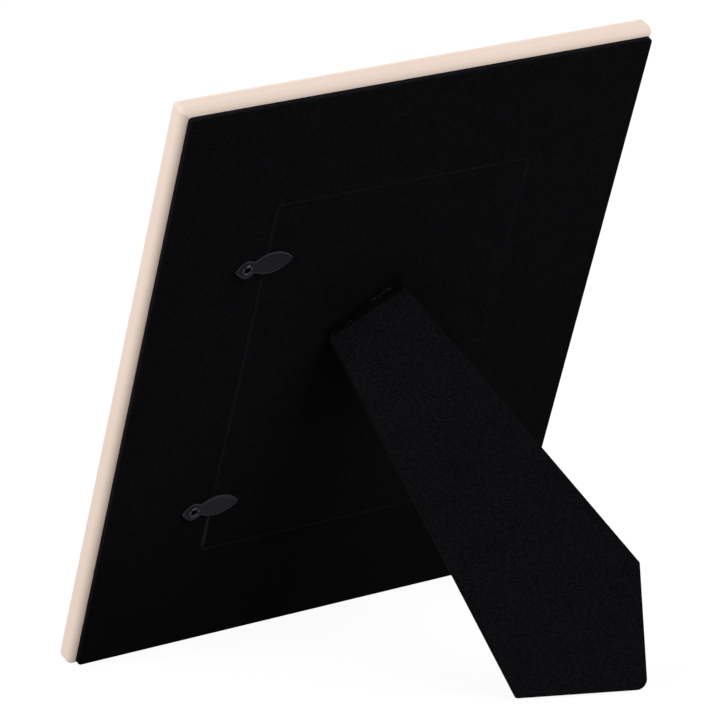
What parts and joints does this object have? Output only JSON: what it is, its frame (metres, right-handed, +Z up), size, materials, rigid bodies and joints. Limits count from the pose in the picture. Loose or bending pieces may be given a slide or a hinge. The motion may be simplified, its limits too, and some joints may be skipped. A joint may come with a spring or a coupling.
{
  "type": "easel back photo frame",
  "caption": "Free-standing photo frame: pale rounded slab with a window, black velvet back with a turn-button door, and a splayed folding leg.",
  "frame": {"origin": "middle of the standing object's footprint box, on the table", "axes": "+Z up, -Y towards the viewer of the picture, +X to the viewer's right"},
  "size_m": [0.2032, 0.1484, 0.2396],
  "materials": {
    "blush_lacquer": "satin lacquer on fibre board",
    "clear_glass": "polished float glass",
    "print_paper": "matt photo paper",
    "filler_card": "brown corrugated card",
    "grey_board": "dense grey board",
    "black_velvet": "short black pile",
    "black_paper": "matt black lining paper",
    "gunmetal_steel": "dark gunmetal plating",
    "plated_steel": "dark nickel plating",
    "black_steel": "black enamel"
  },
  "bodies": {
    "frame": {"front_frame": "blush_lacquer", "glass_pane": "clear_glass", "picture_print": "print_paper", "filler_board": "filler_card", "back_board": "grey_board", "back_velvet": "black_velvet", "door_board": "grey_board", "door_velvet": "black_velvet", "velvet_hinge": "black_velvet", "turn_button_eyelets": "plated_steel", "hinge_door_leaf": "black_steel", "hinge_pin": "plated_steel", "door_leaf_rivets": "plated_steel"},
    "leg": {"hinge_leg_leaf": "black_steel", "leg_leaf_rivets": "plated_steel", "leg_board": "grey_board", "leg_velvet": "black_velvet", "leg_lining": "black_paper"},
    "upper_button": {"turn_button_upper": "gunmetal_steel"},
    "lower_button": {"turn_button_lower": "gunmetal_steel"}
  },
  "joints": [
    {"name": "leg_fold", "type": "hinge", "parent": "frame", "child": "leg", "pos_m": [0.0013, -0.01169, 0.13351], "axis": [-0.8616, 0.1769, 0.4757], "range_deg": [0, 46.69]},
    {"name": "upper_button_turn", "type": "hinge", "parent": "frame", "child": "upper_button", "pos_m": [0.0622, -0.00052, 0.16712], "axis": [0, 0.9373, -0.3486], "continuous": true},
    {"name": "lower_button_turn", "type": "hinge", "parent": "frame", "child": "lower_button", "pos_m": [0.0622, -0.03966, 0.06186], "axis": [0, 0.9373, -0.3486], "continuous": true}
  ]
}
